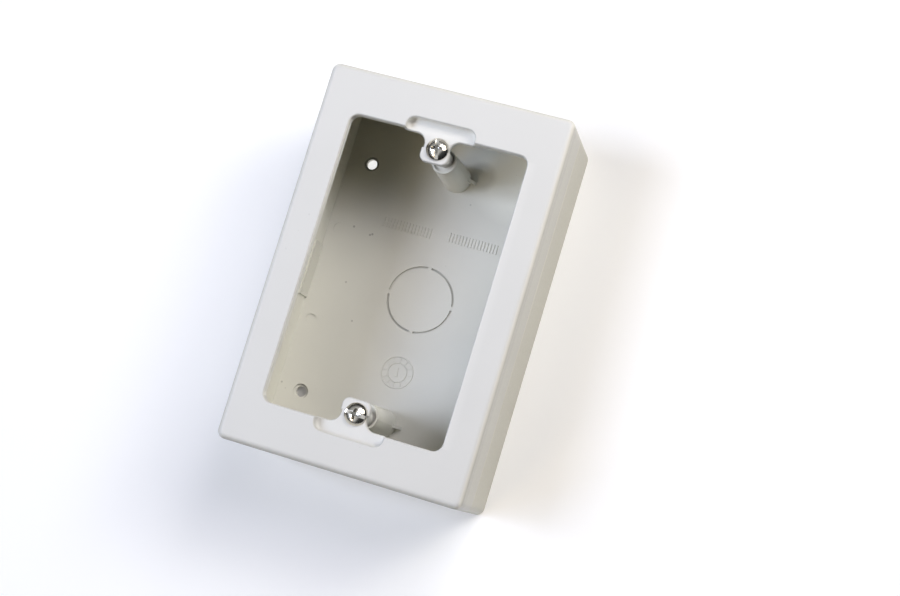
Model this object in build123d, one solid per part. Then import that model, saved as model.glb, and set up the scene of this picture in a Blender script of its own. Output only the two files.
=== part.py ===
"""Surface mount box for one wiring device.

A tray with two hollow posts is fixed to the wall. A flanged front frame sits on
the tray's rim, and two screws through its lugs clamp it to the posts.

Frame: millimetres, back of the box on z = 0, front at +Z, length along Y, and the
origin at the centre of the back.
"""
import os
from math import asin, cos, radians, sin, tan
from build123d import *

os.makedirs("parts", exist_ok=True)

# Whole box
box_width = 78.0
box_length = 120.0
box_depth = 40.0
corner_radius = 2.5
inner_corner_radius = 1.0
side_wall = 2.0

# Tray
floor_thickness = 2.2
tray_height = 23.0
inner_floor_chamfer = 0.2
back_edge_chamfer = 0.6
tongue_height = 2.4
tongue_thickness = 0.9
fit_clearance = 0.1
parting_chamfer = 0.3

# Round knock-out in the floor
knock_out_diameter = 22.0
knock_out_groove_width = 0.7
knock_out_groove_depth = 0.6
knock_out_tie_width = 1.3
knock_out_ties = 4

# Wall mounting holes, set in from the insides of the walls
hole_inset_x = 8.0
hole_inset_y = 19.2
hole_diameter = 3.4
hole_rim_diameter = 5.0
hole_rim_depth = 0.5

# Raised pads that mark where a cable duct is let in through the side walls
duct_pad_length = 18.0
duct_pad_height = 8.3
duct_pad_thickness = 0.5

# Ejector pin marks on the floor, beside the side walls
ejector_diameter = 3.8
ejector_depth = 0.25
ejector_inset = 4.0
ejector_spacing = 31.2

# Posts
screw_pitch = 83.5
post_height = 25.5
post_rim = 0.6
post_draft_angle = 1.6
post_inset = 0.7
socket_clearance = 0.1
socket_depth = 1.0
gusset_height = 4.0
gusset_reach = 2.0
gusset_thickness = 1.1

# Front frame
face_thickness = 2.2
front_edge_radius = 1.8
opening_width = 57.0
opening_past_screw = 4.0
opening_radius = 3.0
opening_edge_depth = 3.0
opening_edge_wall = 1.6
opening_edge_chamfer = 0.3

# Recess and lug at each end of the opening
recess_width = 21.8
recess_reach = 3.7
recess_depth = 3.0
recess_radius = 2.6
recess_floor_radius = 1.2
recess_wall = 1.2
lug_thickness = 1.8
lug_shoulder_width = 23.0
lug_shoulder_inset = 0.25
lug_shoulder_radius = 1.0
lug_neck_width = 8.0
lug_neck_radius = 3.3
lug_tip_width = 9.0
lug_tip_length = 4.2
lug_tip_reach = 4.5
lug_tip_radius = 2.2
lug_offset = -0.5
lug_edge_chamfer = 0.3
sleeve_wall = 0.6

# Screws
screw_diameter = 3.4
screw_length = 25.4
screw_tip_chamfer = 0.7
screw_clearance = 0.25
thread_clearance = 0.05
pilot_margin = 1.6
head_diameter = 7.0
head_height = 2.1
head_rim_height = 0.5
slot_width = 1.1
slot_depth = 1.4
cross_reach = 1.75
cross_width = 0.95
cross_depth = 1.5
cross_floor_scale = 0.45
upper_slot_angle = 101.0
lower_slot_angle = -4.0

# Places that follow from the sizes above
screw_y = screw_pitch / 2
post_y = screw_y - post_inset
recess_floor_z = box_depth - recess_depth
lug_underside_z = recess_floor_z - lug_thickness
socket_floor_z = post_height - socket_depth
screw_tip_z = recess_floor_z - screw_length
pilot_bottom_z = screw_tip_z - pilot_margin
inner_width = box_width - 2 * side_wall
inner_length = box_length - 2 * side_wall
opening_length = screw_pitch + 2 * opening_past_screw
recess_end_y = opening_length / 2 + recess_reach
hole_spacing_x = inner_width - 2 * hole_inset_x
hole_spacing_y = inner_length - 2 * hole_inset_y
ejector_x_spacing = inner_width - 2 * ejector_inset
screw_hole_radius = screw_diameter / 2 + screw_clearance
sleeve_radius = screw_hole_radius + sleeve_wall
socket_radius = sleeve_radius + post_inset + socket_clearance
post_top_radius = socket_radius + post_rim
post_base_radius = post_top_radius + (post_height - floor_thickness) * tan(radians(post_draft_angle))


def rounded_prism(width, length, radius, low, high):
    """Upright prism on a rounded rectangle, centred on the Z axis."""
    outline = RectangleRounded(width, length, radius)
    return Pos(0, 0, low) * extrude(outline, high - low)


def disc(radius, low, high, x=0.0, y=0.0):
    """Upright cylinder between two heights."""
    return Pos(x, y, (low + high) / 2) * Cylinder(radius, high - low)


def both_ends(shape):
    """A shape at the upper end of the box together with its mirror image at the lower end."""
    return shape + mirror(shape, Plane.XZ)


def edges_at(shape, height):
    """Edges that lie wholly at one height."""
    return shape.edges().filter_by(
        lambda edge: abs(edge.bounding_box().min.Z - height) < 1e-4
        and abs(edge.bounding_box().max.Z - height) < 1e-4
    )


# Tray

def tray_shell():
    """Floor and walls, with the thin tongue that locates the front frame."""
    shell = rounded_prism(box_width, box_length, corner_radius, 0, tray_height)
    shell = chamfer(edges_at(shell, 0), back_edge_chamfer)
    shell = chamfer(edges_at(shell, tray_height), parting_chamfer)
    shell += rounded_prism(
        inner_width + 2 * tongue_thickness,
        inner_length + 2 * tongue_thickness,
        inner_corner_radius + tongue_thickness,
        floor_thickness,
        tray_height + tongue_height,
    )
    cavity = rounded_prism(
        inner_width, inner_length, inner_corner_radius, floor_thickness, tray_height + tongue_height
    )
    cavity = chamfer(edges_at(cavity, floor_thickness), inner_floor_chamfer)
    return shell - cavity


def post():
    """Upper post: a drafted boss with one gusset on its +X side."""
    boss = Pos(0, post_y, floor_thickness) * Cone(
        post_base_radius,
        post_top_radius,
        post_height - floor_thickness,
        align=(Align.CENTER, Align.CENTER, Align.MIN),
    )
    foot_x = post_base_radius + gusset_reach
    gusset_outline = Plane.XZ * make_face(
        Polyline(
            (0, 0),
            (foot_x, 0),
            (post_base_radius, gusset_height),
            (0, gusset_height),
            close=True,
        )
    )
    gusset = extrude(gusset_outline, gusset_thickness / 2, both=True)
    return boss + Pos(0, post_y, floor_thickness) * gusset


def post_bore():
    """Shallow socket in the post's top and the pilot hole, which lies off the post's centre."""
    socket = disc(socket_radius, socket_floor_z, post_height, 0, post_y)
    pilot_radius = screw_diameter / 2 + thread_clearance
    return socket + disc(pilot_radius, pilot_bottom_z, socket_floor_z, 0, screw_y)


def knock_out_groove():
    """Ring groove round the knock-out, interrupted by its ties."""
    top = floor_thickness
    low = top - knock_out_groove_depth
    outer = knock_out_diameter / 2
    ring = disc(outer, low, top) - disc(outer - knock_out_groove_width, low, top)
    for index in range(knock_out_ties):
        tie = Pos(outer, 0, (low + top) / 2) * Box(
            4 * knock_out_groove_width, knock_out_tie_width, 2 * knock_out_groove_depth
        )
        ring -= Rot(0, 0, index * 360 / knock_out_ties) * tie
    return ring


def wall_hole():
    """Through hole with a shallow rim on the inside of the floor."""
    hole = disc(hole_diameter / 2, 0, floor_thickness)
    return hole + disc(hole_rim_diameter / 2, floor_thickness - hole_rim_depth, floor_thickness)


def duct_pad(side):
    """Raised pad low on the inside of one side wall; side is -1 or 1."""
    inset = side * (inner_width - duct_pad_thickness) / 2
    return Pos(inset, 0, floor_thickness + duct_pad_height / 2) * Box(
        duct_pad_thickness, duct_pad_length, duct_pad_height
    )


def base():
    tray = tray_shell()
    for side in (-1, 1):
        tray += duct_pad(side)
    tray += both_ends(post())
    tray -= both_ends(post_bore())
    tray -= knock_out_groove()
    for place in GridLocations(hole_spacing_x, hole_spacing_y, 2, 2):
        tray -= place * wall_hole()
    for place in GridLocations(ejector_x_spacing, ejector_spacing, 2, 2):
        mark = disc(ejector_diameter / 2, floor_thickness - ejector_depth, floor_thickness)
        tray -= place * mark
    return tray


# Front frame

def frame_shell():
    """Flange and skirt, with the rebate that takes the tray's tongue."""
    shell = rounded_prism(box_width, box_length, corner_radius, tray_height, box_depth)
    shell = fillet(edges_at(shell, box_depth), front_edge_radius)
    shell = chamfer(edges_at(shell, tray_height), parting_chamfer)
    face_back = box_depth - face_thickness
    shell -= rounded_prism(inner_width, inner_length, inner_corner_radius, tray_height, face_back)
    rebate = tongue_thickness + fit_clearance
    shell -= rounded_prism(
        inner_width + 2 * rebate,
        inner_length + 2 * rebate,
        inner_corner_radius + rebate,
        tray_height,
        tray_height + tongue_height + fit_clearance,
    )
    return shell


def opening_edge():
    """Collar that deepens the edge of the opening."""
    return rounded_prism(
        opening_width + 2 * opening_edge_wall,
        opening_length + 2 * opening_edge_wall,
        opening_radius + opening_edge_wall,
        box_depth - opening_edge_depth,
        box_depth - face_thickness,
    )


def recess_outline(wall):
    """Plan of the upper recess grown by a wall, running on into the opening."""
    low = opening_length / 2 - 2 * recess_radius
    high = recess_end_y + wall
    plan = RectangleRounded(recess_width + 2 * wall, high - low, recess_radius + wall)
    return Pos(0, (low + high) / 2) * plan


def lug_outline():
    """Plan of the upper lug: shoulder, neck and a wider tip round the screw."""
    shoulder_low = opening_length / 2 - lug_shoulder_inset
    shoulder_high = recess_end_y + recess_wall
    shoulder = Pos(0, (shoulder_low + shoulder_high) / 2) * Rectangle(
        lug_shoulder_width, shoulder_high - shoulder_low
    )
    tip_low = screw_y - lug_tip_reach
    tip_high = tip_low + lug_tip_length
    neck_low = tip_low + lug_tip_length / 2
    neck = Pos(0, (neck_low + shoulder_high) / 2) * Rectangle(
        lug_neck_width, shoulder_high - neck_low
    )
    plan = shoulder + neck
    inner_corners = plan.vertices().filter_by(
        lambda corner: abs(corner.Y - shoulder_low) < 1e-4 and abs(corner.X) < lug_neck_width
    )
    plan = fillet(inner_corners, min(lug_neck_radius, 0.9 * (shoulder_low - tip_high)))
    outer_corners = plan.vertices().filter_by(
        lambda corner: abs(corner.Y - shoulder_low) < 1e-4 and abs(corner.X) > lug_neck_width
    )
    plan = fillet(outer_corners, lug_shoulder_radius)
    tip = Pos(0, (tip_low + tip_high) / 2) * Rectangle(lug_tip_width, lug_tip_length)
    tip_corners = tip.vertices().group_by(Axis.Y)[0]
    tip = fillet(tip_corners, lug_tip_radius)
    return Pos(lug_offset, 0) * (plan + tip)


def lug():
    """Upper lug plate with the sleeve that drops into the post's socket."""
    plate = Pos(0, 0, lug_underside_z) * extrude(lug_outline(), lug_thickness)
    plate = chamfer(edges_at(plate, recess_floor_z), lug_edge_chamfer)
    sleeve = disc(sleeve_radius, socket_floor_z, lug_underside_z, 0, screw_y)
    return plate + sleeve


def front_frame():
    frame = frame_shell()
    frame += opening_edge()
    recess_block = extrude(recess_outline(recess_wall), recess_depth + lug_thickness)
    recess_block = Pos(0, 0, lug_underside_z) * recess_block
    frame += both_ends(recess_block)
    frame -= rounded_prism(
        opening_width, opening_length, opening_radius, lug_underside_z, box_depth
    )
    recess_cut = Pos(0, 0, recess_floor_z) * extrude(recess_outline(0), recess_depth)
    recess_cut = fillet(edges_at(recess_cut, recess_floor_z), recess_floor_radius)
    frame -= both_ends(recess_cut)
    frame += both_ends(lug())
    screw_hole = disc(screw_hole_radius, socket_floor_z, recess_floor_z, 0, screw_y)
    frame -= both_ends(screw_hole)
    rim = edges_at(frame, box_depth).filter_by(
        lambda edge: abs(edge.center().X) < opening_width / 2 + opening_edge_wall
        and abs(edge.center().Y) < recess_end_y + recess_wall
    )
    return chamfer(rim, opening_edge_chamfer)


# Screws

def screw(slot_angle):
    """Round-headed screw with a slot and a cross, its head's seat on z = 0."""
    head_radius = head_diameter / 2
    crown_height = head_height - head_rim_height
    crown_radius = (head_radius**2 + crown_height**2) / (2 * crown_height)
    half_way = asin(head_radius / crown_radius) / 2
    crown = ThreePointArc(
        (head_radius, head_rim_height),
        (crown_radius * sin(half_way), head_height - crown_radius * (1 - cos(half_way))),
        (0, head_height),
    )
    profile = make_face(
        Polyline((0, head_height), (0, 0), (head_radius, 0), (head_radius, head_rim_height)) + crown
    )
    body = revolve(Plane.XZ * profile, Axis.Z)
    shank = disc(screw_diameter / 2, -screw_length, 0)
    shank = chamfer(edges_at(shank, -screw_length), screw_tip_chamfer)
    body += shank
    slot = Pos(0, 0, head_height - slot_depth / 2) * Box(head_diameter, slot_width, slot_depth)
    body -= Rot(0, 0, slot_angle) * slot
    cross = Rectangle(2 * cross_reach, cross_width) + Rectangle(cross_width, 2 * cross_reach)
    cross_floor = scale(cross, cross_floor_scale)
    recess = loft([Pos(0, 0, head_height - cross_depth) * cross_floor, Pos(0, 0, head_height) * cross])
    return body - Rot(0, 0, slot_angle) * recess


def main():
    seat = recess_floor_z
    pieces = {
        "base": base(),
        "front_frame": front_frame(),
        "screw_upper": Pos(0, screw_y, seat) * screw(upper_slot_angle),
        "screw_lower": Pos(0, -screw_y, seat) * screw(lower_slot_angle),
    }
    for name, piece in pieces.items():
        export_step(piece, f"parts/{name}.step")
    return pieces


if __name__ == "__main__":
    main()
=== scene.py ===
"""Looks of a surface mount box, lying on its back on a pale floor."""
import math

import bmesh
import bpy
from mathutils import Matrix, Vector


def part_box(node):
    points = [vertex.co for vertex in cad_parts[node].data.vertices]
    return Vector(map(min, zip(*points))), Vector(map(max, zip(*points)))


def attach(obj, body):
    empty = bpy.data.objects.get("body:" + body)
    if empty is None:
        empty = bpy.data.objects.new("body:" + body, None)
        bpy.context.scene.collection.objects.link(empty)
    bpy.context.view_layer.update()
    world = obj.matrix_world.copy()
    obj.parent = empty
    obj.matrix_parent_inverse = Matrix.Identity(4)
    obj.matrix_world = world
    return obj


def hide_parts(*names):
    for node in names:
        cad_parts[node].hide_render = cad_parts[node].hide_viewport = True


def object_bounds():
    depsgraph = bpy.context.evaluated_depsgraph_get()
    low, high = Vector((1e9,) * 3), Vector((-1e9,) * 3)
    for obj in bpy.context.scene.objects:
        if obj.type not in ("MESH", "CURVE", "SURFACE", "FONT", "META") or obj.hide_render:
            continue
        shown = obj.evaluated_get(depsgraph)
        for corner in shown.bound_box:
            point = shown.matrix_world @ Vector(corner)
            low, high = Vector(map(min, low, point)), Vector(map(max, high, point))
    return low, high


MM = 0.001

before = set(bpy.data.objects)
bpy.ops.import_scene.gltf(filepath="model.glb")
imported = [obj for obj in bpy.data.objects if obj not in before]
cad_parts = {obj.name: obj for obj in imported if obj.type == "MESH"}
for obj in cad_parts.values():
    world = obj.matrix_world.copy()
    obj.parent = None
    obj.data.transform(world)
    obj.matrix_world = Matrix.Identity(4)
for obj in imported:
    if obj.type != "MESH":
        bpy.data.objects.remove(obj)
cad_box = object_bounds()

# Camera: place in the part's frame, aim on the front face, and the direction that is up in the picture
CAMERA_PLACE = Vector((0.1243, -0.0545, 0.5061))
CAMERA_AIM = Vector((0.0178, -0.0011, 0.0400))
CAMERA_UP = Vector((-0.2605, 0.9507, 0.1684))
LENS_MM = 65.2
SENSOR_MM = 36.0

# Softboxes: name, azimuth and elevation in degrees, distance, width and height in metres, power, colour
LAMP_AIM = Vector((0, 0, 0.02))
SOFTBOXES = (
    ("key_low", 45, 33, 1.2, 0.32, 0.32, 3.0, (1.00, 0.96, 0.82)),
    ("key_side", 35, 41, 0.75, 0.25, 0.31, 1.5, (1.00, 0.95, 0.89)),
    ("key_high", 65, 45, 0.75, 0.25, 0.25, 1.6, (1.00, 0.98, 1.00)),
    ("top_right", 60, 62, 1.2, 0.32, 0.32, 1.4, (0.91, 0.87, 1.00)),
    ("cool_overhead", 188, 57, 1.2, 0.32, 0.40, 4.9, (0.74, 0.81, 1.00)),
    ("cool_low", 185, 41, 1.2, 0.32, 0.30, 1.4, (0.68, 0.81, 1.00)),
    ("cool_left", 210, 46, 1.2, 0.32, 0.32, 2.4, (0.66, 0.78, 1.00)),
    ("high_left", 230, 62, 1.2, 0.32, 0.32, 1.1, (1.00, 0.85, 0.68)),
    ("warm_left", 240, 40, 1.2, 0.32, 0.32, 1.5, (1.00, 0.87, 0.67)),
)

# Surroundings: colour, strength low and high up, share left on the dark side, and what the camera sees
ROOM_COLOUR = (0.96, 0.98, 1.0)
WALL_LIGHT = 0.03
CEILING_LIGHT = 0.60
WALL_TO_CEILING = (0.25, 0.75)
DARK_SIDE = (0.88, -0.47, 0)
DARK_SIDE_EDGE = (0.30, 0.60)
DARK_SIDE_SHARE = 0.1
BACKDROP = 0.18

# Floor: size and gap under the part in metres, and spots seen through the wall holes in millimetres, with
# painted shade and a painted glow
FLOOR_SIZE = 3.0
FLOOR_GAP = 0.00002
FLOOR_COLOUR = (0.93, 0.93, 0.93)
FLOOR_GLOW = 0.10
FLOOR_ROUGHNESS = 0.8
LOWER_HOLE_VIEW = (-29.7, -38.9, 0)
LOWER_HOLE_RADIUS = 6
LOWER_HOLE_SHADE = (0.29, 0.28, 0.265)
UPPER_HOLE_VIEW = (-29.7, 39.2, 0)
UPPER_HOLE_RADIUS = 4
UPPER_HOLE_GLOW = 0.72

# The part in millimetres: half its width, half its length and its depth, then places in it
SIDE, END, TOP = (value / MM for value in cad_box[1])
PARTING = 23.0
TRAY_FLOOR = 2.2
POST_Y = 41.75
HOLE_X = 29.0
HOLE_Y = 38.8
OPENING_SIDE = 28.5

# Noise is cut off at these values before it is spread over a range
NOISE_SPAN = (0.3, 0.7)

# Plastic: colours, roughness, scale of each pattern per metre, and bumps as height in metres and strength
TRAY_COLOUR = (0.70, 0.692, 0.63)
FRAME_COLOUR = (0.72, 0.716, 0.69)
SPECK_COLOUR = (0.16, 0.15, 0.13)
SLOW_TONE_SCALE = 45
SLOW_TONE_SHARE = 0.975
DUST_SCALE = 260
DUST_EDGE = (0.035, 0.05)
DUST_PATCH_SCALE = 70
DUST_PATCH_EDGE = (0.62, 0.66)
DUST_STRENGTH = 0.15
FLOW_STRETCH = (420, 90, 420)
FLOW_BUMP = (0.00002, 0.12)
GRAIN_SCALE = 3200
GRAIN_BUMP = (0.000012, 0.5)
SATIN_SCALE = 900
SATIN_ROUGHNESS = (0.40, 0.52)

# Single specks: x, y and radius in millimetres, and strength
FLOOR_SPECKS = (
    (-25.4, -0.8, 0.4, 0.4),
    (-19.6, -12.4, 0.4, 0.4),
    (-36.0, -37.5, 0.4, 0.4),
    (-34.2, -39.1, 0.35, 0.15),
    (-22.4, 16.1, 0.45, 0.5),
    (-21.7, 16.5, 0.45, 0.5),
    (-28.4, 17.4, 0.45, 0.5),
    (6.7, 34.0, 0.35, 0.3),
)
FACE_SPECKS = (
    (-31.6, 12.0, 0.4, 0.10),
    (-35.4, 0.1, 0.4, 0.08),
    (-33.3, 6.4, 0.3, 0.06),
)

# Nickel plating, with painted shade in the screws' recesses
RUBBED_COLOUR = (0.86, 0.83, 0.77)
DULL_COLOUR = (0.74, 0.70, 0.63)
RECESS_SHADE_COLOUR = (0.38, 0.37, 0.34)
RUBBED_SCALE = 700
RUBBED_EDGE = (0.35, 0.65)
PLATING_SCALE = 1800
PLATING_ROUGHNESS = (0.08, 0.20)
RIPPLE_SCALE = 2500
RIPPLE_BUMP = (0.00001, 0.4)
RECESS_CENTRE = (0, POST_Y, 37.5)
RECESS_SHADE_RADIUS = 2.2

# Screws, in millimetres from the seat of the head, and degrees
HEAD_RADIUS = 3.5
HEAD_HEIGHT = 2.1
HEAD_RIM = 0.5
HEAD_BEVEL = 0.15
HEAD_BEVEL_HEIGHT = 0.08
CROWN_STEPS = 14
EDGE_ROUND = 0.06
SLOT_WIDTH = 1.1
SLOT_FLOOR = 0.75
CROSS_REACH = 1.95
CROSS_HALF_WIDTH = 0.58
CROSS_END_SHARE = 0.8
CROSS_FLOOR = 0.45
CROSS_FLOOR_SCALE = 0.45
CUTTER_MARGIN = 1.2
SHANK_LENGTH = 25.4
THREAD_RADIUS = 1.7
THREAD_DEPTH = 0.36
THREAD_PITCH = 0.6
THREAD_RUN_OUT = 1.2
THREAD_SLOPE = 1.25
THREAD_ROOT = 0.12
THREAD_STEPS = 8
TIP_LENGTH = 0.8
TIP_SHARE = 0.55
TIP_BARE_SHARE = 0.4
TIP_POINT = 0.1
UPPER_SLOT_ANGLE = 101
LOWER_SLOT_ANGLE = -4
ROUND_STEPS = 48

# Raised marks on the tray's floor, in millimetres; a row of ribs has a left, right, bottom and top
MARK_HEIGHT = 0.25
MARK_SINK = 0.02
MARK_BOTTOM_Z = (TRAY_FLOOR - MARK_SINK) * MM
MARK_TOP_Z = (TRAY_FLOOR + MARK_HEIGHT) * MM
RIB_ROWS = ((-19.3, -1.6, 19.9, 23.2), (3.1, 20.6, 20.4, 23.6))
RIB_PITCH = 1.06
RIB_WIDTH = 0.42
RIB_SLOPE = 0.1
DIAL_CENTRE = (-0.3, -24.3)
DIAL_RADIUS = 5.3
DIAL_INNER_SHARE = 0.62
DIAL_BAND = 0.4
DIAL_SLOPE = 0.08
DIAL_TICKS = 12
TICK_GAP = 0.25
TICK_HALF_WIDTH = 0.16
POINTER = ((-0.45, -1.4), (0.45, -1.4), (0, 1.5))


def camera():
    data = bpy.data.cameras.new("camera")
    data.lens = LENS_MM
    data.sensor_width = SENSOR_MM
    data.clip_start = 0.01
    data.clip_end = 20
    cam = bpy.data.objects.new("camera", data)
    bpy.context.scene.collection.objects.link(cam)
    back = (CAMERA_PLACE - CAMERA_AIM).normalized()
    right = CAMERA_UP.cross(back).normalized()
    up = back.cross(right)
    turn = Matrix((right, up, back)).transposed()
    cam.matrix_world = Matrix.Translation(CAMERA_PLACE) @ turn.to_4x4()
    bpy.context.scene.camera = cam


def direction(azimuth, elevation):
    """Unit vector at an azimuth from +X and an elevation above the floor."""
    a, e = math.radians(azimuth), math.radians(elevation)
    return Vector((math.cos(e) * math.cos(a), math.cos(e) * math.sin(a), math.sin(e)))


def softbox(name, toward, distance, width, height, power, colour):
    """Area light in the direction given, facing the box."""
    data = bpy.data.lights.new(name, "AREA")
    data.shape = "RECTANGLE"
    data.size = width
    data.size_y = height
    data.energy = power
    data.color = colour
    lamp = bpy.data.objects.new(name, data)
    bpy.context.scene.collection.objects.link(lamp)
    lamp.location = LAMP_AIM + toward * distance
    lamp.rotation_euler = toward.to_track_quat("Z", "Y").to_euler()


def lights():
    """Softboxes, surroundings and a plain view transform."""
    for name, azimuth, elevation, distance, width, height, power, colour in SOFTBOXES:
        softbox(name, direction(azimuth, elevation), distance, width, height, power, colour)
    room()
    bpy.context.scene.view_settings.view_transform = "Standard"


def rgba(value):
    """A colour with its alpha; a socket stays as it is."""
    return (*value, 1) if isinstance(value, tuple) else value


class Nodes:
    """Short calls for the nodes of a world or a material; a value is a number, a tuple or a socket."""

    def __init__(self, tree):
        self.tree = tree
        self.coordinates = tree.nodes.new("ShaderNodeTexCoord").outputs

    def put(self, socket, value):
        if isinstance(value, bpy.types.NodeSocket):
            self.tree.links.new(value, socket)
        else:
            socket.default_value = value

    def node(self, kind, output, inputs, **settings):
        """One output of a new node with these settings and inputs."""
        node = self.tree.nodes.new("ShaderNode" + kind)
        for name, value in settings.items():
            setattr(node, name, value)
        for key, value in inputs.items():
            self.put(node.inputs[key], value)
        return node.outputs[output]

    def math(self, operation, *values):
        return self.node("Math", "Value", dict(enumerate(values)), operation=operation)

    def vector(self, operation, output, *values):
        return self.node("VectorMath", output, dict(enumerate(values)), operation=operation)

    def map(self, source, from_low, from_high, to_low=0, to_high=1):
        ranges = {"From Min": from_low, "From Max": from_high, "To Min": to_low, "To Max": to_high}
        return self.node("MapRange", "Result", {"Value": source, **ranges})

    def product(self, first, *others):
        for value in others:
            first = self.math("MULTIPLY", first, value)
        return first


def room():
    """Surroundings that only shiny surfaces show: a pale ceiling over darker walls, darkest on one side."""
    world = bpy.data.worlds.new("studio")
    world.use_nodes = True
    bpy.context.scene.world = world
    nodes = Nodes(world.node_tree)
    toward = nodes.coordinates["Generated"]
    height = nodes.node("SeparateXYZ", "Z", {0: toward})
    rise = nodes.map(height, *WALL_TO_CEILING, WALL_LIGHT, CEILING_LIGHT)
    side = nodes.vector("DOT_PRODUCT", "Value", toward, DARK_SIDE)
    dim = nodes.map(side, *DARK_SIDE_EDGE, 1, DARK_SIDE_SHARE)
    seen = nodes.node("LightPath", "Is Camera Ray", {})
    level = nodes.node("Mix", "Result", {"Factor": seen, "A": nodes.product(rise, dim), "B": BACKDROP})
    sky = world.node_tree.nodes["Background"]
    nodes.put(sky.inputs["Color"], (*ROOM_COLOUR, 1))
    nodes.put(sky.inputs["Strength"], level)
    world.cycles_visibility.diffuse = False


class Finish(Nodes):
    """A material, with masks round spots on the part given in millimetres."""

    def __init__(self, name):
        self.material = bpy.data.materials.new(name)
        self.material.use_nodes = True
        super().__init__(self.material.node_tree)
        self.shader = self.tree.nodes["Principled BSDF"]
        self.place = self.coordinates["Object"]

    def fold(self):
        """Object coordinates without their signs, which puts both ends and both sides of the part on one."""
        return self.vector("ABSOLUTE", "Vector", self.place)

    def set(self, name, value):
        """Value for one of the shader's inputs."""
        self.put(self.shader.inputs[name], value)

    def noise(self, scale, detail=2.0, roughness=0.5, vector=None):
        look = {"Scale": scale, "Detail": detail, "Roughness": roughness}
        return self.node("TexNoise", "Fac", {"Vector": vector or self.place, **look})

    def cells(self, scale):
        """Distance to the nearest of scattered points."""
        return self.node("TexVoronoi", "Distance", {"Vector": self.place, "Scale": scale})

    def blend(self, factor, low, high, how="MIX"):
        """Colour between two colours, or low multiplied by high where the factor is 1."""
        colours = {6: rgba(low), 7: rgba(high)}
        return self.node("Mix", 2, {"Factor": factor, **colours}, data_type="RGBA", blend_type=how)

    def brighten(self, colour, factor):
        return self.node("VectorMath", "Vector", {0: colour, "Scale": factor}, operation="SCALE")

    def bump(self, height, distance, strength, normal=None):
        under = {"Normal": normal} if normal else {}
        inputs = {"Height": height, "Distance": distance, "Strength": strength, **under}
        return self.node("Bump", "Normal", inputs)

    def distance(self, spot, vector=None):
        """Distance in metres from a spot."""
        spot = tuple(value * MM for value in spot)
        return self.vector("DISTANCE", "Value", vector or self.place, spot)

    def near(self, spot, radius, vector=None):
        """1 inside a small ball round a spot, and 0 outside."""
        return self.map(self.distance(spot, vector), 0.6 * radius * MM, radius * MM, 1, 0)


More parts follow.
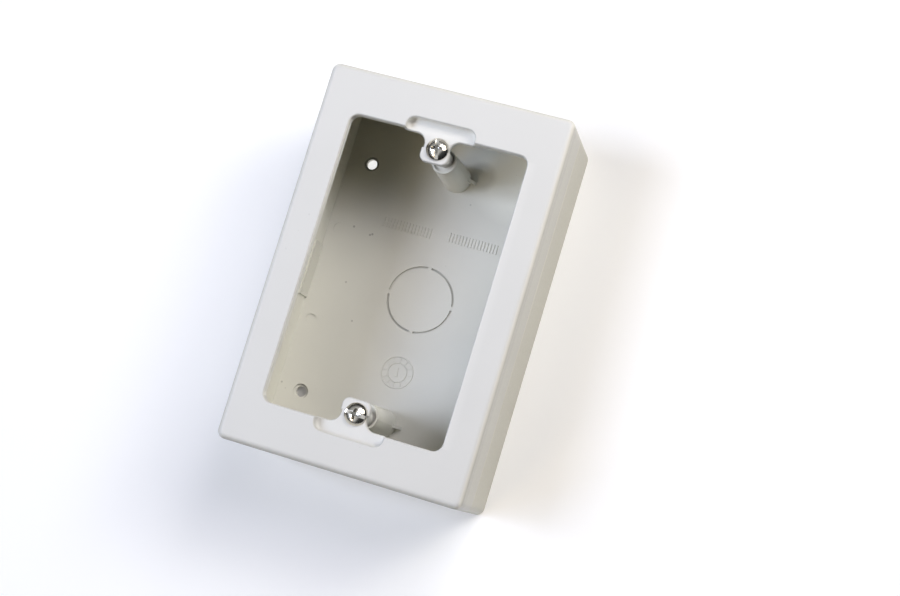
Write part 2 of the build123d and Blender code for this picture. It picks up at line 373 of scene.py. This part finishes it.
class Moulding(Finish):
    """A plastic, with masks between places along the part's axes in millimetres."""

    def __init__(self, name):
        super().__init__(name)
        self.folded = self.fold()
        self.x, self.y, self.z = (self.node("SeparateXYZ", axis, {0: self.place}) for axis in "XYZ")
        self.across, self.along = (self.node("SeparateXYZ", axis, {0: self.folded}) for axis in "XY")
        # within the tray's walls, above its floor and below the sunk lugs
        walls = self.math("SUBTRACT", 1, self.outer(1.2, 0.8))
        self.inner = self.product(walls, self.within(self.z, TRAY_FLOOR - 0.4, TOP - 4.5, 0.6))
        # the tray's floor
        self.low = self.product(self.ramp(self.z, TRAY_FLOOR + 0.7, TRAY_FLOOR + 0.4), self.inner)

    def ramp(self, coordinate, zero, one):
        """0 at one place along an axis, rising to 1 at the other."""
        return self.map(coordinate, zero * MM, one * MM)

    def within(self, coordinate, low, high, edge):
        """1 between two places along an axis, falling to 0 over the edge outside them."""
        rising = self.ramp(coordinate, low - edge, low)
        return self.product(rising, self.ramp(coordinate, high + edge, high))

    def outer(self, zero, one):
        """0 at one depth under the outer sides and ends, rising to 1 at the other."""
        sides = self.ramp(self.across, SIDE - zero, SIDE - one)
        ends = self.ramp(self.along, END - zero, END - one)
        return self.math("MAXIMUM", sides, ends)

    def painted_cool_light(self):
        """Rises to 1 on the tray's floor towards +X, short of the corner at -Y, where cool light is painted.
        """
        return self.product(self.ramp(self.x, -2, 26), self.ramp(self.y, -45, -30), self.low)

    def upper_recess(self):
        """1 on the walls and bottom of the recess at +Y, and 0 elsewhere."""
        upright = self.product(self.ramp(self.y, 44.0, 47.5), self.ramp(self.y, 51.5, 50.5))
        deep = self.within(self.z, TOP - 3.4, TOP - 0.6, 0.3)
        return self.product(self.within(self.x, -11.2, 11.2, 0.2), upright, deep)

    def hole_rim_shade(self):
        """Painted shade in the sunk rims of the wall holes: all round the upper one at -X, inward at the
        others.
        """
        sunk = self.within(self.z, TRAY_FLOOR - 0.55, TRAY_FLOOR - 0.30, 0.1)
        upper = self.product(self.near((-HOLE_X, HOLE_Y, 2.0), 3.2), sunk, 0.50)
        from_corner = self.distance((HOLE_X + 1.4, HOLE_Y + 1.4, 1.7), self.folded)
        inward = self.product(self.ramp(from_corner, 2.6, 3.6), 0.40)
        others = self.product(self.near((HOLE_X, HOLE_Y, 2.0), 3.6, self.folded), sunk, inward)
        return self.math("MAXIMUM", upper, others)

    def beside_opening(self):
        """A narrow and a wide band on the face, along the +X edge of the opening."""
        narrow = self.within(self.x, OPENING_SIDE - 0.3, OPENING_SIDE + 0.3, 0.4)
        wide = self.within(self.x, OPENING_SIDE + 0.1, OPENING_SIDE + 0.5, 2.5)
        return self.product(self.math("MAXIMUM", narrow, wide), self.ramp(self.z, TOP - 2, TOP - 0.5))

    def painted_light_and_shade(self):
        """Painted light and shade: places painted darker or lighter, each a change of tone and a mask."""
        x, y, z, inner, low = self.x, self.y, self.z, self.inner, self.low
        near, ramp, within, product = self.near, self.ramp, self.within, self.product
        opening = ramp(self.along, 44.5, 44.0)
        front = ramp(z, TOP - 3.5, TOP - 1.0)
        socket = near((0, POST_Y, 24.5), 3.7, self.folded)
        post = product(near((0, POST_Y, 14), 14, self.folded), within(z, 4, 25, 1))
        step = within(z, TRAY_FLOOR - 0.22, TRAY_FLOOR - 0.06, 0.02)
        groove = within(z, TRAY_FLOOR - 0.7, TRAY_FLOOR - 0.2, 0.1)
        parting = within(z, PARTING - 0.2, PARTING + 0.2, 0.15)
        left_edge = product(
            within(x, -OPENING_SIDE - 0.2, -OPENING_SIDE + 0.2, 0.2),
            within(z, TOP - 3.6, TOP - 0.4, 0.3),
        )
        left_wall = product(
            within(x, -SIDE + 1.5, -SIDE + 2.1, 0.3),
            within(z, TRAY_FLOOR + 0.5, PARTING - 0.6, 0.3),
        )
        right_rim = product(within(x, SIDE - 0.9, SIDE - 0.4, 0.3), ramp(z, TOP - 2.5, TOP - 1.5))
        return {
            # Painted shade: each negative change below makes its place darker where shade falls.
            "face, towards -Y": (-0.09, product(ramp(y, END, -END), front)),
            "lugs": (-0.05, within(z, TOP - 5.5, TOP - 2.8, 0.3)),
            "outer sides": (-0.205, self.outer(0.6, 0.1)),
            "+X side of the post sockets": (-0.5, product(socket, ramp(x, 0.5, 2.0))),
            "small steps in the floor": (-0.25, product(step, inner)),
            "middle of the floor": (-0.06, product(near((2, -2, TRAY_FLOOR), 24), inner)),
            "knock-out groove": (-0.12, product(near((0, 0, 2), 17), groove)),
            "floor beside the upper post": (-0.25, product(near((7.5, 43.8, TRAY_FLOOR), 5.5), low)),
            "rims of the wall holes": (-1, self.hole_rim_shade()),
            # Painted light: each positive change below makes its place lighter, with painted highlights on
            # the parting line, along the opening and on the +X rim.
            "parting line": (0.28, product(parting, self.outer(1.0, 0.6))),
            "face along the opening": (0.06, product(self.beside_opening(), opening)),
            "-X edge of the opening": (0.36, product(left_edge, opening)),
            "-X inner wall": (0.14, left_wall),
            "upper recess": (0.28, self.upper_recess()),
            "cool floor": (0.22, self.painted_cool_light()),
            "upper right corner of the floor": (0.20, product(near((19, 46, 2), 16), low)),
            "floor behind the upper post": (0.18, product(near((3, 51, 2), 8.5), low)),
            "posts": (0.10, product(post, inner)),
            "+X rim of the face": (0.10, right_rim),
        }

    def painted_light_tints(self):
        """Painted colour casts of light and shade: each a tint and a mask."""
        upper_left = self.product(self.near((-37, 57, 10), 40), self.inner)
        lower_right = self.product(self.near((31, -55, 8), 24), self.inner)
        return {
            # Painted shade in the two corners, and painted warm and cool light on the outer sides, the floor
            # and the upper recess.
            "upper left corner": ((0.86, 0.83, 0.73), upper_left),
            "outer sides": ((1.0, 0.985, 0.935), self.outer(1.3, 0.5)),
            "cool floor": ((0.97, 0.985, 1.0), self.painted_cool_light()),
            "upper recess": ((0.99, 0.993, 0.975), self.upper_recess()),
            "lower right corner": ((0.86, 0.845, 0.79), lower_right),
        }


def plastic(name, colour, specks, level):
    """Satin moulded plastic with spark-eroded grain, slow tone changes, faint flow marks and specks, and
    painted light, shade and colour casts at listed places.
    """
    finish = Moulding(name)
    slow = finish.map(finish.noise(SLOW_TONE_SCALE, 3), *NOISE_SPAN)
    body = finish.blend(slow, tuple(SLOW_TONE_SHARE * c for c in colour), colour)
    # Painted light and shade: the colour is made darker or lighter at the places listed.
    tone = 1
    for change, mask in finish.painted_light_and_shade().values():
        tone = finish.math("MULTIPLY_ADD", mask, change, tone)
    body = finish.brighten(body, tone)
    # Painted colour casts of light and shade at the places listed.
    for tint, mask in finish.painted_light_tints().values():
        body = finish.blend(mask, body, tint, "MULTIPLY")
    dust = finish.map(finish.cells(DUST_SCALE), *DUST_EDGE, 1, 0)
    patches = finish.map(finish.noise(DUST_PATCH_SCALE, 0), *DUST_PATCH_EDGE)
    dust = finish.product(dust, patches, DUST_STRENGTH)
    for x, y, radius, strength in specks:
        speck = finish.product(finish.near((x, y, level), radius), strength)
        dust = finish.math("MAXIMUM", dust, speck)
    finish.set("Base Color", finish.blend(dust, body, SPECK_COLOUR))
    finish.set("Roughness", finish.map(finish.noise(SATIN_SCALE, 2), *NOISE_SPAN, *SATIN_ROUGHNESS))
    flow = finish.noise(1, 3, 0.6, finish.vector("MULTIPLY", "Vector", finish.place, FLOW_STRETCH))
    normal = finish.bump(flow, *FLOW_BUMP)
    finish.set("Normal", finish.bump(finish.noise(GRAIN_SCALE, 4, 0.6), *GRAIN_BUMP, normal))
    return finish.material


def nickel(name):
    """Bright nickel plating over turned steel, with faint turning lines, rubbed patches and painted shade in
    the recess.
    """
    finish = Finish(name)
    rubbed = finish.map(finish.noise(RUBBED_SCALE, 3), *RUBBED_EDGE)
    plating = finish.blend(rubbed, DULL_COLOUR, RUBBED_COLOUR)
    # Painted shade over the head's recess.
    recess_shade = finish.near(RECESS_CENTRE, RECESS_SHADE_RADIUS, finish.fold())
    finish.set("Base Color", finish.blend(recess_shade, plating, RECESS_SHADE_COLOUR))
    finish.set("Metallic", 1.0)
    gloss = finish.map(finish.noise(PLATING_SCALE, 4, 0.7), *NOISE_SPAN, *PLATING_ROUGHNESS)
    finish.set("Roughness", gloss)
    finish.set("Normal", finish.bump(finish.noise(RIPPLE_SCALE, 3), *RIPPLE_BUMP))
    return finish.material


def floor():
    """Pale floor with a faint even glow, a painted glow where the upper hole shows it and painted shade
    where the lower hole does.
    """
    mesh = bpy.data.meshes.new("floor")
    signs = ((-1, -1), (1, -1), (1, 1), (-1, 1))
    mesh.from_pydata([(x * FLOOR_SIZE, y * FLOOR_SIZE, -FLOOR_GAP) for x, y in signs], [], [(0, 1, 2, 3)])
    plane = bpy.data.objects.new("floor", mesh)
    bpy.context.scene.collection.objects.link(plane)
    finish = Finish("floor_paper")
    shade = finish.near(LOWER_HOLE_VIEW, LOWER_HOLE_RADIUS)
    finish.set("Base Color", finish.blend(shade, FLOOR_COLOUR, LOWER_HOLE_SHADE))
    finish.set("Roughness", FLOOR_ROUGHNESS)
    finish.set("Emission Color", (1, 1, 1, 1))
    lit = finish.near(UPPER_HOLE_VIEW, UPPER_HOLE_RADIUS)
    finish.set("Emission Strength", finish.map(lit, 0, 1, FLOOR_GLOW, UPPER_HOLE_GLOW))
    plane.data.materials.append(finish.material)


def mesh_object(name, shape):
    """New object in the scene from a bmesh, which is freed."""
    bmesh.ops.recalc_face_normals(shape, faces=shape.faces)
    mesh = bpy.data.meshes.new(name)
    shape.to_mesh(mesh)
    shape.free()
    piece = bpy.data.objects.new(name, mesh)
    bpy.context.scene.collection.objects.link(piece)
    return piece


def rectangle(left, right, bottom, top):
    """Corners in metres of a rectangle given in millimetres."""
    corners = ((left, bottom), (right, bottom), (right, top), (left, top))
    return [(x * MM, y * MM) for x, y in corners]


def prism(shape, low_points, high_points, low, high):
    """Closed solid between two outlines with as many points each."""
    bottom = [shape.verts.new((x, y, low)) for x, y in low_points]
    top = [shape.verts.new((x, y, high)) for x, y in high_points]
    count = len(bottom)
    shape.faces.new(bottom[::-1])
    shape.faces.new(top)
    for i in range(count):
        j = (i + 1) % count
        shape.faces.new((bottom[i], bottom[j], top[j], top[i]))


def tooth(turn):
    """Height of the thread's section, 0 to 1, over one turn."""
    ramp = 1 - abs(2 * (turn % 1) - 1)
    return min(max(THREAD_SLOPE * ramp - THREAD_ROOT, 0), 1)


def shank_rings():
    """Heights along the shank, each with its core radius and how much thread it carries."""
    core = THREAD_RADIUS - THREAD_DEPTH
    rings = [(-SHANK_LENGTH, TIP_SHARE * core, 0)]
    step = THREAD_PITCH / THREAD_STEPS
    z = -SHANK_LENGTH + TIP_LENGTH / 2
    while z < -step:
        from_tip = (z + SHANK_LENGTH) / TIP_LENGTH
        from_head = -z / THREAD_RUN_OUT
        share = min(from_tip - TIP_BARE_SHARE, from_head, 1)
        radius = core * min(1, TIP_SHARE + (1 - TIP_SHARE) * from_tip)
        rings.append((z, radius, max(share, 0) * THREAD_DEPTH))
        z += step
    rings.append((0, core, 0))
    return rings


def head_rings():
    """Heights and radii up the round head, without thread."""
    rings = [
        (0, HEAD_RADIUS - HEAD_BEVEL, 0),
        (HEAD_BEVEL_HEIGHT, HEAD_RADIUS, 0),
        (HEAD_RIM, HEAD_RADIUS, 0),
    ]
    crown = HEAD_HEIGHT - HEAD_RIM
    ball = (HEAD_RADIUS**2 + crown**2) / (2 * crown)
    widest = math.asin(HEAD_RADIUS / ball)
    for i in range(1, CROWN_STEPS):
        angle = widest * (1 - i / CROWN_STEPS)
        rings.append((HEAD_HEIGHT - ball * (1 - math.cos(angle)), ball * math.sin(angle), 0))
    return rings


def turned_screw(name):
    """Closed mesh of the screw without its recess: point, helical thread, head."""
    shape = bmesh.new()
    loops = []
    for z, radius, depth in shank_rings() + head_rings():
        loop = []
        for i in range(ROUND_STEPS):
            share = i / ROUND_STEPS
            r = radius + depth * tooth(z / THREAD_PITCH - share)
            angle = 2 * math.pi * share
            loop.append(shape.verts.new((r * math.cos(angle) * MM, r * math.sin(angle) * MM, z * MM)))
        loops.append(loop)
    for low, high in zip(loops, loops[1:]):
        for i in range(ROUND_STEPS):
            j = (i + 1) % ROUND_STEPS
            shape.faces.new((low[i], low[j], high[j], high[i]))
    for loop, z in ((loops[0], -SHANK_LENGTH - TIP_POINT), (loops[-1], HEAD_HEIGHT)):
        pole = shape.verts.new((0, 0, z * MM))
        for i in range(ROUND_STEPS):
            shape.faces.new((loop[i], loop[(i + 1) % ROUND_STEPS], pole))
    return mesh_object(name, shape)


def cross_points(scale):
    """Outline of the cross recess: four wings with slightly drawn-in ends."""
    a, r = CROSS_HALF_WIDTH, CROSS_REACH
    wing = ((r, -CROSS_END_SHARE * a), (r, CROSS_END_SHARE * a), (a, a))
    points = []
    for c, s in ((1, 0), (0, 1), (-1, 0), (0, -1)):
        points += [((x * c - y * s) * scale * MM, (x * s + y * c) * scale * MM) for x, y in wing]
    return points


def recess_cutters():
    """Slot and cross, each as a cutter that stands out of the head."""
    slot = bmesh.new()
    reach = CUTTER_MARGIN * HEAD_RADIUS
    corners = rectangle(-reach, reach, -SLOT_WIDTH / 2, SLOT_WIDTH / 2)
    prism(slot, corners, corners, SLOT_FLOOR * MM, 2 * HEAD_HEIGHT * MM)
    cross = bmesh.new()
    cross_top = CUTTER_MARGIN * HEAD_HEIGHT
    widening = (1 - CROSS_FLOOR_SCALE) * (cross_top - CROSS_FLOOR) / (HEAD_HEIGHT - CROSS_FLOOR)
    prism(cross, cross_points(CROSS_FLOOR_SCALE), cross_points(CROSS_FLOOR_SCALE + widening),
          CROSS_FLOOR * MM, cross_top * MM)
    return [mesh_object("slot_cutter", slot), mesh_object("cross_cutter", cross)]


def apply_modifiers(piece):
    """Write the piece's modifiers into its mesh."""
    evaluated = piece.evaluated_get(bpy.context.evaluated_depsgraph_get())
    mesh = bpy.data.meshes.new_from_object(evaluated)
    piece.modifiers.clear()
    old, piece.data = piece.data, mesh
    bpy.data.meshes.remove(old)


def cut(piece, cutters):
    for cutter in cutters:
        change = piece.modifiers.new("cut", "BOOLEAN")
        change.operation = "DIFFERENCE"
        change.solver = "EXACT"
        change.object = cutter
    apply_modifiers(piece)
    for cutter in cutters:
        bpy.data.objects.remove(cutter)


def soften_edges(piece, width, least_angle, above, weld):
    """Small rounding on the sharp edges above a height; lengths in millimetres, the angle in degrees."""
    shape = bmesh.new()
    shape.from_mesh(piece.data)
    bmesh.ops.remove_doubles(shape, verts=shape.verts, dist=weld * MM)
    limit = math.radians(least_angle)
    sharp = [
        edge for edge in shape.edges
        if len(edge.link_faces) == 2 and edge.calc_face_angle() > limit
        and min(v.co.z for v in edge.verts) > above * MM
    ]
    bmesh.ops.bevel(shape, geom=sharp, offset=width * MM, segments=2, profile=0.6,
                    affect="EDGES", clamp_overlap=True)
    shape.to_mesh(piece.data)
    shape.free()


def shade(piece, angle):
    """Smooth shading, with an edge wherever faces meet at more than the angle."""
    for face in piece.data.polygons:
        face.use_smooth = True
    piece.data.set_sharp_from_angle(angle=math.radians(angle))


def screw(node, slot_angle, material):
    """Detailed screw in the place of a plain one."""
    piece = turned_screw(node + "_turned")
    cut(piece, recess_cutters())
    soften_edges(piece, width=EDGE_ROUND, least_angle=35, above=0.1, weld=0.002)
    low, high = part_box(node)
    seat = Vector(((low[0] + high[0]) / 2, (low[1] + high[1]) / 2, high[2] - HEAD_HEIGHT * MM))
    piece.data.transform(Matrix.Translation(seat) @ Matrix.Rotation(math.radians(slot_angle), 4, "Z"))
    shade(piece, angle=32)
    piece.data.materials.append(material)
    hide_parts(node)
    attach(piece, "root")


def rib(shape, left, bottom, top):
    """Upright rib with sloping sides on the tray's floor."""
    right = left + RIB_WIDTH
    foot = rectangle(left, right, bottom, top)
    crest = rectangle(left + RIB_SLOPE, right - RIB_SLOPE, bottom + RIB_SLOPE, top - RIB_SLOPE)
    prism(shape, foot, crest, MARK_BOTTOM_Z, MARK_TOP_Z)


def rib_rows(shape):
    """Rows of plain upright ribs."""
    for left, right, bottom, top in RIB_ROWS:
        for i in range(int((right - left) / RIB_PITCH)):
            rib(shape, left + i * RIB_PITCH, bottom, top)


def dial_ring(shape, outer):
    """Flat raised ring round the dial's centre, with sloping sides."""
    inner = outer - DIAL_BAND
    steps = 2 * ROUND_STEPS
    section = (
        (outer, MARK_BOTTOM_Z),
        (outer - DIAL_SLOPE, MARK_TOP_Z),
        (inner + DIAL_SLOPE, MARK_TOP_Z),
        (inner, MARK_BOTTOM_Z),
    )
    loops = []
    for radius, z in section:
        loop = []
        for i in range(steps):
            angle = 2 * math.pi * i / steps
            x = DIAL_CENTRE[0] + radius * math.cos(angle)
            y = DIAL_CENTRE[1] + radius * math.sin(angle)
            loop.append(shape.verts.new((x * MM, y * MM, z)))
        loops.append(loop)
    for a, b in zip(loops, loops[1:] + loops[:1]):
        for i in range(steps):
            j = (i + 1) % steps
            shape.faces.new((a[i], a[j], b[j], b[i]))


def dial_plate(shape, corners, angle):
    """Flat raised shape on the dial, turned about its centre."""
    c, s = math.cos(angle), math.sin(angle)
    x, y = DIAL_CENTRE
    outline = [((x + u * c - v * s) * MM, (y + u * s + v * c) * MM) for u, v in corners]
    prism(shape, outline, outline, MARK_BOTTOM_Z, MARK_TOP_Z)


def dial(shape):
    """Plain mould dial: two rings with ticks between them and a pointer."""
    inner = DIAL_INNER_SHARE * DIAL_RADIUS
    dial_ring(shape, DIAL_RADIUS)
    dial_ring(shape, inner)
    start, stop = inner + TICK_GAP, DIAL_RADIUS - DIAL_BAND - TICK_GAP
    half = TICK_HALF_WIDTH
    tick = ((start, -half), (stop, -half), (stop, half), (start, half))
    for i in range(DIAL_TICKS):
        dial_plate(shape, tick, 2 * math.pi * i / DIAL_TICKS)
    dial_plate(shape, POINTER, 0)


def floor_marks(material):
    """Raised marks moulded on the tray's floor."""
    shape = bmesh.new()
    rib_rows(shape)
    dial(shape)
    piece = mesh_object("floor_marks", shape)
    shade(piece, angle=30)
    piece.data.materials.append(material)
    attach(piece, "root")


camera()
lights()
floor()
base_plastic = plastic("tray_moulding", TRAY_COLOUR, FLOOR_SPECKS, TRAY_FLOOR)
frame_plastic = plastic("frame_moulding", FRAME_COLOUR, FACE_SPECKS, TOP)
screw_metal = nickel("nickel_plate")
for node, material in (("base", base_plastic), ("front_frame", frame_plastic)):
    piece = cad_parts[node]
    piece.data.materials.clear()
    piece.data.materials.append(material)
screw("screw_upper", UPPER_SLOT_ANGLE, screw_metal)
screw("screw_lower", LOWER_SLOT_ANGLE, screw_metal)
floor_marks(base_plastic)
